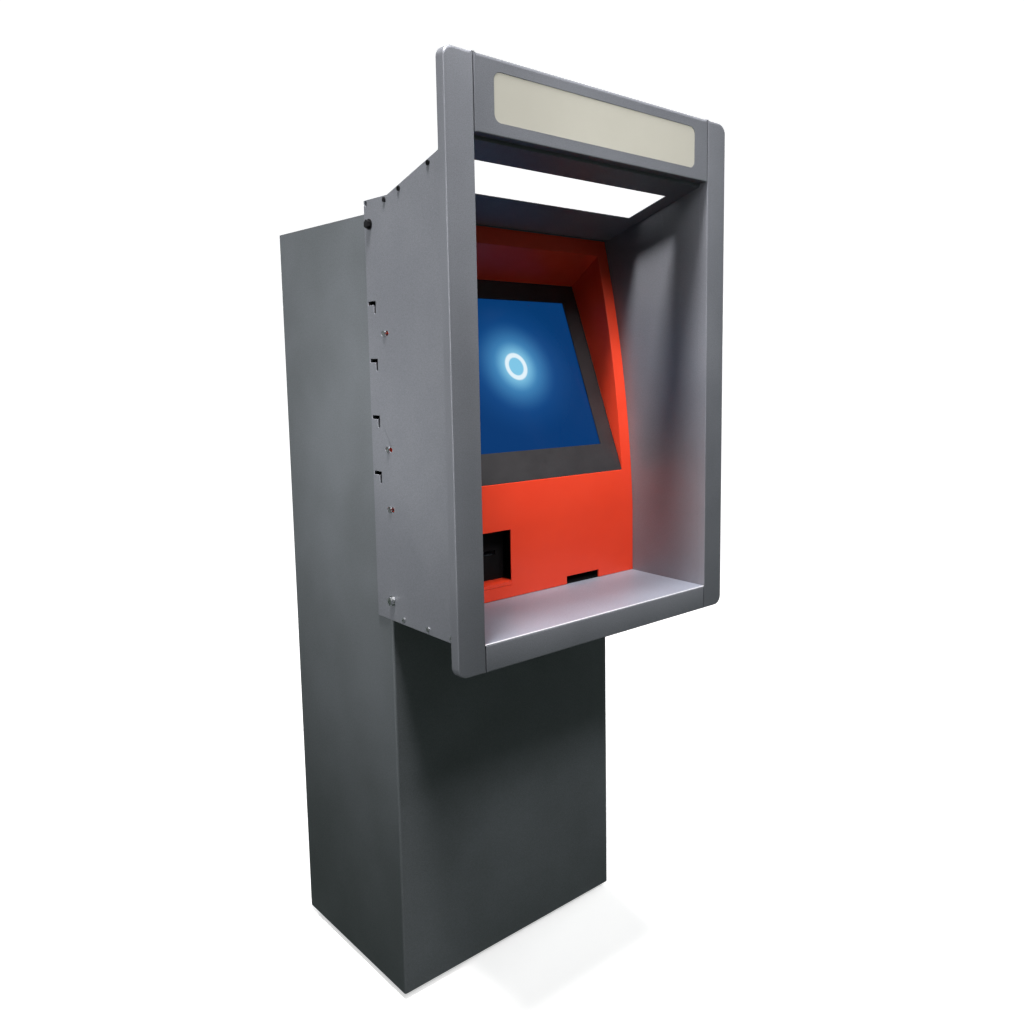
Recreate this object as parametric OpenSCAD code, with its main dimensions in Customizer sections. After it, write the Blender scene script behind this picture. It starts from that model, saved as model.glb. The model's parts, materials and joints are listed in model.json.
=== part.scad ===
// Through-the-wall cash machine: a floor-standing cabinet that carries a projecting hood
// with a wide front bezel, a red fascia with a reclined touch screen, and the equipment
// behind it. Millimetres, +Z up, the front faces -Y, the origin is on the floor at the
// centre of the overall box. Inside the modules Y is measured back from the front face.

/* [Cabinet] */
// Depth of the cabinet body
cab_d = 379; // [360:1:480]
// Height of the cabinet body above its feet
cab_h = 1379; // [1379:1:1400]
// Height of the gap that the levelling feet leave under the cabinet
foot_h = 12; // [10:1:20]
// Sheet thickness of the cabinet
sheet_t = 2; // [1.5:0.1:2]

/* [Bezel] */
// Width of the front bezel
bezel_w = 600; // [600:1:640]
// Height of the front bezel
bezel_h = 890; // [890:1:900]
// Height of the bezel's lower edge above the floor
bezel_z = 684; // [684:1:690]
// Width of the two upright bezel members
stile_w = 48; // [46:1:48]
// Height of the sign header
header_h = 108; // [106:1:108]
// Height of the bottom rail
rail_h = 43; // [41:1:44]
// Depth of the bezel members
bezel_t = 18; // [16:1:20]
// Radius of the bezel's outer corners
bezel_r = 16; // [8:1:20]
// Width of the visible joint beside the header and the rail
seam = 1.8; // [0.6:0.1:2]
// Width of the sign panel
sign_w = 432; // [380:1:440]
// Height of the sign panel
sign_h = 69; // [60:1:72]

/* [Hood] */
// Distance from the front face to the rear edge of the hood's side panels
hood_back = 312; // [308:1:330]
// Thickness of the hood's side panels
side_t = 3; // [2:0.1:4]
// Top of the hood's sides at the bezel, above the bezel's lower edge
hood_top = 798; // [794:1:800]
// Top of the level part of the hood's sides, above the bezel's lower edge
hood_flat = 728; // [727:1:730]
// Distance from the front face to the end of the sloping edge
slope_end = 237; // [230:1:245]
// Lower edge of the hood's sides, above the bezel's lower edge
hood_low = 26; // [20:1:27]
// Width of the opening in the roof
roof_open_w = 432; // [380:1:440]
// Front edge of the opening in the roof, from the front face
roof_open_y = 69; // [60:1:80]
// Depth of the opening in the roof
roof_open_d = 95; // [60:1:100]

/* [Fascia] */
// Distance from the front face to the fascia's upright lower part
fascia_y = 190; // [188:1:195]
// Height of the fascia's bend, above the bezel's lower edge
fascia_bend = 180; // [176:1:185]
// Angle of the crease at the bend
crease = 2.5; // [0.5:0.1:3]
// Distance from the front face to the fascia's top edge
fascia_top_y = 269; // [265:1:269]
// Wall thickness of the fascia
fascia_t = 3; // [2:0.1:3]
// Angle at which the screen leans back
screen_tilt = 21.7; // [20:0.1:23]
// Width of the black touch frame
frame_w = 450; // [446:1:450]
// Height of the black touch frame along its slope
frame_h = 397; // [395:1:399]
// Width of the picture area of the 19-inch display
picture_w = 376; // [360:1:380]
// Height of the picture area
picture_h = 301; // [290:1:303]

/* [Equipment] */
// Width of one note cassette
cassette_w = 190; // [150:1:196]
// Radius of a full receipt roll
roll_r = 36; // [25:1:38]
// Radius of the printer's platen roller
platen_r = 6; // [5:0.5:6.5]

/* [Hidden] */
$fn = 48;
e = 0.01;                                     // overshoot of a cut past a face
cab_w = bezel_w - 2 * stile_w;                // cabinet width, equal to the clear opening
cab_x = cab_w / 2;
cab_y = 271;                                  // front face of the cabinet
cab_back = cab_y + cab_d;
cab_top = foot_h + cab_h;
knuckle_r = 4.5;                              // hinge barrel
overall_d = cab_back + 2 * knuckle_r;
steel = [0.47, 0.48, 0.51];
dark_steel = [0.33, 0.36, 0.36];
red = [0.83, 0.24, 0.14];
black = [0.10, 0.10, 0.11];
zinc = [0.72, 0.73, 0.75];

// Heights above the bezel's lower edge, as heights above the floor
function up(h) = bezel_z + h;

opening_low = up(rail_h);                     // clear opening of the bezel
opening_high = up(bezel_h - header_h);
slope = (hood_top - hood_flat) / slope_end;   // fall of the roof for each unit of depth
function edge_z(y) = up(hood_top) - slope * y;
roof_drop = hood_top - (bezel_h - header_h);  // side panel's edge above the roof's underside
roof_bend = (edge_z(0) - roof_drop - cab_top) / slope;
flange = 16;                                  // height of folded flanges

// Sign panel in the header
sign_z = opening_high + 19;
sign_r = 12;
sign_lip = 6;

// The fascia's upper part is a cylinder about an axis along X
arc_dy = fascia_top_y - fascia_y;
fascia_top = cab_top - bezel_z - 3;
arc_dz = fascia_top - fascia_bend;
arc_sweep = 2 * (atan2(arc_dy, arc_dz) - crease);
arc_r = norm([arc_dy, arc_dz]) / (2 * sin(arc_sweep / 2));
arc_cy = fascia_y + arc_r * cos(crease);
arc_cz = up(fascia_bend) - arc_r * sin(crease);
function arc_y(z) = arc_cy - sqrt(arc_r * arc_r - (z - arc_cz) * (z - arc_cz));
fascia_x = cab_x - 0.5;                       // half width of the fascia
fascia_z = opening_low + 0.8;
fascia_back = cab_y - 0.5;

// The screen lies in a recess whose floor meets the fascia's face at the lip
lip_z = up(249);
lip_y = arc_y(lip_z);
rim_z = up(673);
rim_y = arc_y(rim_z);
recess_top_y = lip_y + frame_h * sin(screen_tilt);
recess_top_z = lip_z + frame_h * cos(screen_tilt);
picture_z = 58;                               // lower edge of the picture, along the slope
recess_profile = [
    [fascia_y - 40, lip_z], [fascia_y - 40, rim_z], [rim_y, rim_z],
    [recess_top_y, recess_top_z], [lip_y, lip_z]
];

// Layers behind the recess, measured back from the screen's plane
touch_t = 10;
display_t = 14;
housing_t = 30;
housing_y = touch_t + display_t + 0.1;
rail_y = housing_y + housing_t;
rail_zs = [picture_z + 60, picture_z + picture_h - 45];
rail_bolt_xs = [-160, 160];

// The recess with the pocket for the touch frame behind its floor
function behind(back, slope_up) = [
    lip_y + back * cos(screen_tilt) + slope_up * sin(screen_tilt),
    lip_z - back * sin(screen_tilt) + slope_up * cos(screen_tilt)
];
frame_edge = 1.3;
recess_cut = [
    [fascia_y - 40, lip_z], [fascia_y - 40, rim_z], [rim_y, rim_z],
    [recess_top_y, recess_top_z], behind(touch_t + 1, frame_h),
    behind(touch_t + 1, frame_edge), behind(0, frame_edge), [lip_y, lip_z]
];

// Note port and receipt slot in the fascia's lower part
port_x = -165;
port_w = 108;
port_z = up(66);
port_h = 101;
port_depth = 32;
ledge_h = 7;
slot_x = 74;
slot_w = 82;
slot_top = up(58.5);

// Door, hinges and lock
door_x = cab_x - 24;                          // half width of the door opening
door_z = 90;
door_h = cab_top - 36 - door_z;
door_gap = 1.5;
door_flange = 13;
hinge_x = door_x - door_gap / 2;
hinge_y = cab_back + knuckle_r;
hinge_zs = [door_z + 90, door_z + door_h / 2, door_z + door_h - 90];
hinge_h = 70;
pin_r = 2.5;
lock_x = -190;
lock_z = 700;
cam_l = 45;
plug_r = 6;
fan_z = 1240;
fan_s = 120;                                  // size of the fan's frame
fan_d = 25;
fan_y = cab_back - sheet_t - fan_d - 0.1;
fan_holes = [-52.5, 52.5];
rotor_r = 54;
vent_pitch = 11;

// Feet and floor fixings
base_t = 3;
grommet_r = 15;
foot_x = 226;
foot_ys = [cab_y + 36, cab_back - 36];
anchor_x = 170;
anchor_y = 130;
cab_mid_y = cab_y + cab_d / 2;
entry_r = 20;

// Hardware on the hood's sides, as [y, height above the bezel's lower edge]
roof_screw_ys = [114, 199.5, 244.5];
empty_hole_y = 305;
sill_screw_ys = [84, 151.5, 226];
slot_screw_zs = [218, 319, 510];
clamp_bolt = [261, 61];
upper_bolt = [295, 688];
hook_zs = [for (k = [0:3]) 260 + 94.5 * k];
hook_y = 287;
bezel_screw_x = cab_x + side_t + 12;
bezel_screw_zs = [60, 240, 420, 600, 760];

// Equipment inside the cabinet
shelf_z = up(52);
printer_x = 58;
printer_w = 114;
printer_y = 285;
printer_h = 112;
roll_y = 370;
roll_z = shelf_z + 54;
platen_y = 304;
platen_z = shelf_z + 96;
cover_y = 426;
cover_z = shelf_z + printer_h + 3.5;
paper_x = slot_x + slot_w / 2;
bay_h = 130;
bay_z = 268;
bay_y = 288;
bay_d = 276;
bay_t = 3;
bay_top = bay_z + 2 * bay_h + 3 * bay_t;
cassette_h = 118;
cassette_d = 262;
cassette_y = bay_y + bay_t + 5;
handle_z = 76;                                // pivot height above the cassette's floor
handle_r = 3;
handle_w = 90;
handle_drop = 42;
button_r = 7;
pc_x = -120;
pc_w = 230;
pc_y = 440;
pc_d = 160;
pc_h = 65;
button_x = pc_x + 30;
button_z = shelf_z + 40;
inlet_x = -150;
inlet_z = 52;
rocker_x = inlet_x - 14;
rocker_y = cab_back + 1;
rocker_tilt = 10;

// ---------- helpers ----------

// Moves a shape measured from the front face into the centred frame
module framed() translate([0, -overall_d / 2, 0]) children();

// The shape and its mirror image across the centre plane
module both_sides() {
    children();
    mirror([1, 0, 0]) children();
}

// A plate of thickness t along +X, from a profile of [y, z] points
module side_plate(t, points) rotate([90, 0, 90]) linear_extrude(t) polygon(points);

// A plate of thickness t along +Y, from a flat child drawn in x and z
module front_plate(t) translate([0, t, 0]) rotate([90, 0, 0]) linear_extrude(t) children();

// A box given by its low and high corners
module block(low, high) translate(low) cube(high - low);

// A round bar along X, Y or Z, starting at the origin
module bar_x(r, l) rotate([0, 90, 0]) cylinder(r = r, h = l);
module bar_y(r, l) rotate([-90, 0, 0]) cylinder(r = r, h = l);

// A flat rectangle with rounded corners, from its lower left corner
module rounded_rect(w, h, r) {
    translate([r, 0]) square([w - 2 * r, h]);
    translate([0, r]) square([w, h - 2 * r]);
    for (x = [r, w - r], y = [r, h - r]) translate([x, y]) circle(r);
}

// A flat rectangle whose two left corners are rounded
module left_rounded(w, h, r) {
    translate([r, 0]) square([w - r, h]);
    translate([0, r]) square([r + e, h - 2 * r]);
    for (y = [r, h - r]) translate([r, y]) circle(r);
}

// A pan-head screw along +Y from the underside of its head
module screw_y(r, l, head_r, head_h) {
    bar_y(r, l);
    translate([0, -head_h, 0]) difference() {
        bar_y(head_r, head_h);
        for (a = [0, 90]) rotate([0, a, 0])
            translate([-head_r * 0.55, -e, -0.5]) cube([head_r * 1.1, head_h * 0.5, 1]);
    }
}

// The same screw pointing along +X, for the left side of the hood
module screw_x(r, l, head_r, head_h) rotate([0, 0, -90]) screw_y(r, l, head_r, head_h);

// ---------- bezel ----------

// Outline of the backing plate, grown by g
module backplate_shape(g) difference() {
    translate([-bezel_w / 2 + sheet_t - g, up(sheet_t - g)])
        rounded_rect(bezel_w - 2 * (sheet_t - g), bezel_h - 2 * (sheet_t - g),
            bezel_r - sheet_t + g);
    translate([-cab_x - sheet_t + g, opening_low - 2 * sheet_t + g])
        square([cab_w + 2 * (sheet_t - g), opening_high - opening_low + 3 * sheet_t - 2 * g]);
}

module backplate_pocket() translate([0, bezel_t - sheet_t - 0.1, 0])
    front_plate(sheet_t + 1) backplate_shape(0.1);

module stile() difference() {
    front_plate(bezel_t) translate([-bezel_w / 2, bezel_z])
        left_rounded(stile_w, bezel_h, bezel_r);
    translate([0, sheet_t, 0]) front_plate(bezel_t)
        translate([-bezel_w / 2 + sheet_t, bezel_z + sheet_t])
            left_rounded(stile_w - 2 * sheet_t, bezel_h - 2 * sheet_t, bezel_r - sheet_t);
    backplate_pocket();
}

module bezel_stile_left() color(steel) framed() stile();

module bezel_stile_right() color(steel) framed() mirror([1, 0, 0]) stile();

module sign_outline(g) translate([-sign_w / 2 - g, sign_z - g])
    rounded_rect(sign_w + 2 * g, sign_h + 2 * g, sign_r + g);

module bezel_header() color(steel) framed() difference() {
    block([-cab_x + seam, 0, opening_high], [cab_x - seam, bezel_t, up(bezel_h)]);
    block([-cab_x + seam + sheet_t, sheet_t, opening_high + sheet_t],
        [cab_x - seam - sheet_t, bezel_t + 1, up(bezel_h) - sheet_t]);
    translate([0, -1, 0]) front_plate(bezel_t) sign_outline(0.4);
    backplate_pocket();
}

module bezel_bottom_rail() color(steel) framed() difference() {
    block([-cab_x + seam, 0, bezel_z], [cab_x - seam, bezel_t, opening_low - sheet_t - 0.2]);
    block([-cab_x + seam + sheet_t, sheet_t, bezel_z + sheet_t],
        [cab_x - seam - sheet_t, bezel_t + 1, opening_low - 2 * sheet_t - 0.2]);
    backplate_pocket();
}

module bezel_backplate() color(dark_steel) framed() difference() {
    translate([0, bezel_t - sheet_t, 0]) front_plate(sheet_t) backplate_shape(0);
    both_sides() for (h = bezel_screw_zs) translate([bezel_screw_x, 0, up(h)])
        bar_y(2.2, bezel_t + 1);
}

module sign_panel() color([0.86, 0.84, 0.78]) framed() {
    translate([0, 0.6, 0]) front_plate(sheet_t + 0.6) sign_outline(0);
    translate([0, sheet_t + 0.1, 0]) front_plate(2) sign_outline(sign_lip);
}

module bezel_screws() color(zinc) framed() both_sides() for (h = bezel_screw_zs)
    translate([bezel_screw_x, bezel_t + sheet_t, up(h)]) rotate([0, 0, 180])
        screw_y(2, 9, 4, 2.2);

// ---------- hood ----------

// Hanging slot shaped like a 7, its corner at the front end, cut along X
module hook_slot(g) {
    translate([-1, -3 - g, 14 - g]) cube([side_t + 5, 24 + 2 * g, 6 + 2 * g]);
    translate([-1, -3 - g, -g]) cube([side_t + 5, 6 + 2 * g, 20 + 2 * g]);
}

// Oblong hole of the fascia's fixing screws, cut along X
module oblong_x(l, w, t) for (y = [-l / 2 + w / 2, 0, l / 2 - w / 2])
    if (y == 0) translate([0, -l / 2 + w / 2, -w / 2]) cube([t, l - w, w]);
    else translate([0, y, 0]) bar_x(w / 2, t);

module hood_side() difference() {
    union() {
        translate([-cab_x - side_t, 0, 0]) side_plate(side_t, [
            [bezel_t, up(hood_low)], [hood_back, up(hood_low)], [hood_back, up(hood_flat)],
            [slope_end, up(hood_flat)], [bezel_t, edge_z(bezel_t)]
        ]);
        block([-cab_x - side_t - 22, bezel_t, up(hood_low)],
            [-cab_x - side_t + e, bezel_t + sheet_t, edge_z(bezel_t) - 4]);
    }
    translate([-cab_x - side_t, 0, 0]) {
        for (z = hook_zs) translate([0, hook_y, up(z)]) hook_slot(0);
        for (z = slot_screw_zs) translate([-1, 258, up(z)]) oblong_x(22, 8, side_t + 2);
        for (y = roof_screw_ys) translate([-1, y, roof_hole_z(y)]) bar_x(2.2, side_t + 2);
        translate([-1, empty_hole_y, up(722)]) bar_x(4, side_t + 2);
        for (y = sill_screw_ys) translate([-1, y, up(35)]) bar_x(2.2, side_t + 2);
        translate([-1, clamp_bolt[0], up(clamp_bolt[1])]) bar_x(4.2, side_t + 2);
        translate([-1, upper_bolt[0], up(upper_bolt[1])]) bar_x(4.2, side_t + 2);
    }
    for (h = bezel_screw_zs) translate([-bezel_screw_x, 0, up(h)]) bar_y(2.2, bezel_t + 5);
}

function roof_hole_z(y) = max(edge_z(y), up(hood_flat)) - 7;

module hood_side_left() color(steel) framed() hood_side();

module hood_side_right() color(steel) framed() mirror([1, 0, 0]) hood_side();

module roof_panel() color(steel) framed() difference() {
    x = cab_x - 0.1;
    y0 = bezel_t + 0.2;
    y1 = hood_back - 1;
    low0 = edge_z(y0) - roof_drop;
    union() {
        translate([-x, 0, 0]) side_plate(2 * x, [
            [y0, low0], [roof_bend, cab_top], [y1, cab_top], [y1, cab_top + sheet_t],
            [roof_bend, cab_top + sheet_t], [y0, low0 + sheet_t]
        ]);
        both_sides() translate([-x, 0, 0]) side_plate(sheet_t, [
            [y0, low0 + e], [roof_bend, cab_top + e], [y1, cab_top + e],
            [y1, up(hood_flat) - 1], [slope_end, up(hood_flat) - 1], [y0, edge_z(y0) - 1]
        ]);
        block([-x, y0, low0 + e], [x, y0 + sheet_t, low0 + flange]);
    }
    block([-roof_open_w / 2, roof_open_y, cab_top],
        [roof_open_w / 2, roof_open_y + roof_open_d, edge_z(0)]);
    both_sides() translate([-x - 1, 0, 0]) {
        for (y = roof_screw_ys) translate([0, y, roof_hole_z(y)]) bar_x(2.2, sheet_t + 2);
        translate([0, empty_hole_y, up(722)]) bar_x(4, sheet_t + 2);
    }
}

module sill_shelf() color(steel) framed() difference() {
    x = cab_x - 0.2;
    union() {
        block([-x, 0.5, opening_low - sheet_t], [x, fascia_back, opening_low]);
        both_sides() block([-x, bezel_t + 1, opening_low - flange],
            [-x + sheet_t, fascia_back, opening_low - sheet_t + e]);
        for (y = [bezel_t + 1, fascia_back - sheet_t])
            block([-x, y, opening_low - flange], [x, y + sheet_t, opening_low - sheet_t + e]);
    }
    both_sides() for (y = sill_screw_ys) translate([-x - 1, y, up(35)])
        bar_x(2.2, sheet_t + 2);
}

module roof_screws() color(black) framed() both_sides() for (y = roof_screw_ys)
    translate([-cab_x - side_t, y, roof_hole_z(y)]) screw_x(2, 9, 4, 2.2);

module sill_screws() color(zinc) framed() both_sides() for (y = sill_screw_ys)
    translate([-cab_x - side_t, y, up(35)]) screw_x(2, 9, 4, 2.2);

// A hexagon-headed bolt with a washer, pointing along +X
module hex_bolt_x(r, l) {
    translate([-1.5, 0, 0]) bar_x(2.2 * r, 1.5);
    translate([-1.5 - 1.3 * r, 0, 0]) rotate([0, 90, 0])
        cylinder(r = 1.8 * r, h = 1.3 * r, $fn = 6);
    bar_x(r, l);
}

module clamp_bolts() color(zinc) framed() both_sides()
    translate([-cab_x - side_t, clamp_bolt[0], up(clamp_bolt[1])]) hex_bolt_x(4, 14);

module upper_bolts() color(black) framed() both_sides()
    translate([-cab_x - side_t, upper_bolt[0], up(upper_bolt[1])]) hex_bolt_x(4, 14);

module fascia_screws() color(zinc) framed() both_sides() for (z = slot_screw_zs)
    translate([-cab_x - side_t, 258, up(z)]) screw_x(2.5, 11, 5, 2.5);

// ---------- fascia and screen ----------

// Everything behind the fascia's front surface, set in by g
module fascia_body(g, back) intersection() {
    block([-fascia_x + g, fascia_y + g, fascia_z - (g > 0 ? 1 : 0)],
        [fascia_x - g, back, up(fascia_top) - g]);
    union() {
        block([-fascia_x, fascia_y, fascia_z - 1], [fascia_x, back + 1, up(fascia_bend)]);
        translate([-fascia_x, arc_cy, arc_cz]) rotate([0, 90, 0])
            cylinder(r = arc_r - g, h = 2 * fascia_x, $fn = 1440);
    }
}

// The two side walls and the top wall of the screen recess
module recess_walls() intersection() {
    union() {
        both_sides() translate([-frame_w / 2 - fascia_t, 0, 0])
            side_plate(fascia_t, recess_profile);
        translate([-frame_w / 2 - fascia_t, 0, 0]) side_plate(frame_w + 2 * fascia_t, [
            [fascia_y - 40, rim_z], [rim_y, rim_z], [recess_top_y, recess_top_z],
            [recess_top_y, recess_top_z + fascia_t + 1], [rim_y, rim_z + fascia_t + 1],
            [fascia_y - 40, rim_z + fascia_t + 1]
        ]);
    }
    translate([-fascia_x, arc_cy, arc_cz]) rotate([0, 90, 0])
        cylinder(r = arc_r, h = 2 * fascia_x, $fn = 1440);
}

module fascia() color(red) framed() difference() {
    union() {
        difference() {
            fascia_body(0, fascia_back);
            fascia_body(fascia_t, fascia_back + 1);
        }
        recess_walls();
    }
    translate([-frame_w / 2, 0, 0]) side_plate(frame_w, recess_cut);
    block([port_x, fascia_y - 1, port_z], [port_x + port_w, fascia_y + 10, port_z + port_h]);
    block([slot_x, fascia_y - 1, fascia_z - 1], [slot_x + slot_w, fascia_y + 10, slot_top]);
    both_sides() {
        for (z = slot_screw_zs) translate([-cab_x, 258, up(z)]) bar_x(2.7, 10);
        translate([-cab_x, clamp_bolt[0], up(clamp_bolt[1])]) bar_x(4.2, 10);
    }
}

module port_ledge() color(red) framed() difference() {
    union() {
        block([port_x + 0.5, fascia_y, port_z + 0.8],
            [port_x + port_w - 0.5, fascia_y + port_depth, port_z + ledge_h]);
        block([port_x - 6, fascia_y + fascia_t, port_z + 0.8],
            [port_x + port_w + 6, fascia_y + port_depth, port_z + ledge_h]);
    }
    block([port_x + 3, fascia_y + 3, port_z - 1],
        [port_x + port_w - 3, fascia_y + port_depth + 1, port_z + ledge_h - 2]);
}

module note_port_face() color(black) framed() difference() {
    block([port_x - 6, fascia_y + port_depth + 0.2, port_z - 4],
        [port_x + port_w + 6, fascia_y + port_depth + 4, port_z + port_h + 10]);
    note_mouth();
}

// The slot that notes pass through, in the port's face and the transport behind it
module note_mouth() block([port_x + 12, fascia_y + port_depth - 1, port_z + 52],
    [port_x + port_w - 12, fascia_y + port_depth + 30, port_z + 61]);

// Moves a shape onto the screen's plane: x across, y back from its face, z up its slope
module on_screen() translate([0, lip_y, lip_z]) rotate([-screen_tilt, 0, 0]) children();

module touch_frame() color(black) framed() on_screen() difference() {
    block([-frame_w / 2 + 0.3, 0.1, 1.6], [frame_w / 2 - 0.3, touch_t, frame_h - 0.3]);
    block([-picture_w / 2, -1, picture_z], [picture_w / 2, touch_t + 1, picture_z + picture_h]);
}

module display_panel() color([0.06, 0.25, 0.5]) framed() on_screen() {
    block([-picture_w / 2 + 0.2, 2.5, picture_z + 0.2],
        [picture_w / 2 - 0.2, touch_t + 1, picture_z + picture_h - 0.2]);
    block([-picture_w / 2 - 12, touch_t + 0.1, picture_z - 12],
        [picture_w / 2 + 12, touch_t + display_t, picture_z + picture_h + 12]);
}

module monitor_housing() color(zinc) framed() on_screen() difference() {
    block([-picture_w / 2 - 18, housing_y, picture_z - 18],
        [picture_w / 2 + 18, housing_y + housing_t, picture_z + picture_h + 18]);
    block([-picture_w / 2 - 16, housing_y - 1, picture_z - 16],
        [picture_w / 2 + 16, housing_y + housing_t - sheet_t, picture_z + picture_h + 16]);
    for (k = [0:12], z = [picture_z + 100, picture_z + 170]) block([k * 18 - 112, housing_y, z],
        [k * 18 - 104, housing_y + housing_t + 1, z + 50]);
    for (x = rail_bolt_xs, z = rail_zs) translate([x, housing_y + 10, z]) bar_y(2, housing_t);
}

module monitor_rails() color(dark_steel) framed() on_screen() for (z = rail_zs)
    difference() {
        block([-cab_x + sheet_t + 0.3, rail_y + 0.1, z - 14],
            [cab_x - sheet_t - 0.3, rail_y + 3, z + 14]);
        for (x = rail_bolt_xs) translate([x, rail_y - 1, z]) bar_y(2.2, 6);
    }

module monitor_bolts() color(zinc) framed() on_screen() for (x = rail_bolt_xs, z = rail_zs)
    translate([x, rail_y + 3, z]) rotate([0, 0, 180]) screw_y(1.95, 15, 4, 2.4);

// ---------- cabinet ----------

module cabinet_outline(g) translate([-cab_x + g, cab_y + g])
    rounded_rect(cab_w - 2 * g, cab_d - 2 * g, max(4 - g, 1));

module cabinet_shell() color(steel) framed() difference() {
    translate([0, 0, foot_h]) linear_extrude(cab_h) cabinet_outline(0);
    translate([0, 0, foot_h - 1]) linear_extrude(cab_h + 2) cabinet_outline(sheet_t);
    block([-frame_w / 2 - 5, cab_y - 1, up(50)], [frame_w / 2 + 5, cab_y + 4, up(694)]);
    block([-door_x, cab_back - 4, door_z], [door_x, cab_back + 1, door_z + door_h]);
    both_sides() {
        for (z = hook_zs) translate([-cab_x - 1, hook_y, up(z)]) hook_slot(0.5);
        translate([-cab_x - 1, upper_bolt[0], up(upper_bolt[1])]) bar_x(4.2, 5);
    }
    block([inlet_x - 24, cab_back - 4, inlet_z - 14], [inlet_x + 24, cab_back + 1, inlet_z + 14]);
}

module cabinet_top() color(steel) framed() difference() {
    x = cab_x - sheet_t - 0.1;
    y0 = cab_y + sheet_t + 0.1;
    y1 = cab_back - sheet_t - 0.1;
    translate([0, 0, cab_top - flange]) linear_extrude(flange) cabinet_outline(sheet_t + 0.1);
    block([-x + sheet_t, y0 + sheet_t, cab_top - flange - 1],
        [x - sheet_t, y1 - sheet_t, cab_top - sheet_t]);
    block([-x - 1, y0 - 1, cab_top - flange - 1], [x + 1, y0 + 40, cab_top - sheet_t]);
}

module cabinet_base() color(dark_steel) framed() difference() {
    x = cab_x - sheet_t - 0.1;
    y0 = cab_y + sheet_t + 0.1;
    y1 = cab_back - sheet_t - 0.1;
    translate([0, 0, foot_h]) linear_extrude(flange) cabinet_outline(sheet_t + 0.1);
    block([-x + sheet_t, y0 + sheet_t, foot_h + base_t],
        [x - sheet_t, y1 - sheet_t, foot_h + flange + 1]);
    for (x = [-foot_x, foot_x], y = foot_ys) translate([x, y, foot_h - 1])
        cylinder(r = 5.2, h = base_t + 2);
    for (x = [-anchor_x, anchor_x], y = [-anchor_y, anchor_y])
        translate([x, cab_mid_y + y, foot_h - 1]) cylinder(r = 6.5, h = base_t + 2);
    translate([0, cab_back - 70, foot_h - 1]) cylinder(r = entry_r, h = base_t + 2);
}

// Rows of slots through the door, width w, centred on x = 0
module vent_rows(w, z, count) for (k = [0:count - 1])
    translate([-w / 2, cab_back - 5, z + (k - (count - 1) / 2) * vent_pitch - 2.5])
        cube([w, 10, 5]);

module rear_door() color(steel) framed() difference() {
    x = door_x - door_gap;
    z0 = door_z + door_gap;
    z1 = door_z + door_h - door_gap;
    block([-x, cab_back - sheet_t - door_flange, z0], [x, cab_back, z1]);
    block([-x + sheet_t, cab_back - sheet_t - door_flange - 1, z0 + sheet_t],
        [x - sheet_t, cab_back - sheet_t, z1 - sheet_t]);
    vent_rows(100, fan_z, 9);
    vent_rows(240, 230, 7);
    translate([lock_x, cab_back - 5, lock_z]) bar_y(9.6, 10);
    for (x = fan_holes, z = fan_holes)
        translate([x, cab_back - 5, fan_z + z]) bar_y(2.2, 10);
}

// One knuckle and the strip of leaf behind it; side is +1 for the frame, -1 for the door
module knuckle(z, h, side) {
    translate([hinge_x, hinge_y, z]) difference() {
        union() {
            cylinder(r = knuckle_r, h = h);
            translate([side > 0 ? 0 : -23, -knuckle_r, 0]) cube([23, sheet_t, h]);
        }
        translate([0, 0, -1]) cylinder(r = pin_r + 0.05, h = h + 2);
    }
}

module hinge_frame_leaves() color(zinc) framed() for (z = hinge_zs) {
    knuckle(z - hinge_h / 2, 20, 1);
    knuckle(z + hinge_h / 2 - 20, 20, 1);
    block([hinge_x + 6, cab_back, z - hinge_h / 2],
        [hinge_x + 23, cab_back + sheet_t, z + hinge_h / 2]);
}

module hinge_door_leaves() color(zinc) framed() for (z = hinge_zs) {
    knuckle(z - 14.5, 29, -1);
    block([hinge_x - 23, cab_back, z - hinge_h / 2],
        [hinge_x - 6, cab_back + sheet_t, z + hinge_h / 2]);
}

module hinge_pins() color(zinc) framed() for (z = hinge_zs) {
    translate([hinge_x, hinge_y, z - hinge_h / 2 - 2]) cylinder(r = pin_r, h = hinge_h + 2);
    translate([hinge_x, hinge_y, z + hinge_h / 2]) cylinder(r = 4.2, h = 2);
}

module lock_body() color(zinc) framed() translate([lock_x, cab_back, lock_z]) difference() {
    union() {
        translate([0, -18, 0]) bar_y(9.5, 18);
        bar_y(13, 3);
        translate([0, -8, 0]) rotate([-90, 0, 0]) cylinder(r = 14, h = 5.9, $fn = 6);
    }
    translate([0, -19, 0]) bar_y(plug_r + 0.05, 30);
}

module lock_plug() color(zinc) framed() translate([lock_x, cab_back, lock_z]) difference() {
    translate([0, -24, 0]) bar_y(plug_r, 26.5);
    translate([-0.8, 0.5, -3.5]) cube([1.6, 3, 7]);
}

module lock_cam() color(zinc) framed() translate([lock_x, cab_back, lock_z]) difference() {
    union() {
        translate([0, -21.5, 0]) bar_y(11, 3);
        block([-7, -21.5, 0], [7, -18.5, cam_l]);
    }
    translate([0, -23, 0]) bar_y(plug_r + 0.05, 6);
}

module foot_pads() color(black) framed() for (x = [-foot_x, foot_x], y = foot_ys)
    translate([x, y, 0]) {
        cylinder(r = 18, h = 4);
        translate([0, 0, 4]) cylinder(r1 = 18, r2 = 10, h = 3);
    }

module foot_studs() color(zinc) framed() for (x = [-foot_x, foot_x], y = foot_ys)
    translate([x, y, 7]) cylinder(r = 5, h = 40);

module foot_nuts() color(zinc) framed() for (x = [-foot_x, foot_x], y = foot_ys)
    translate([x, y, foot_h + base_t]) difference() {
        cylinder(r = 9.5, h = 8, $fn = 6);
        translate([0, 0, -1]) cylinder(r = 5, h = 10);
    }

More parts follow.
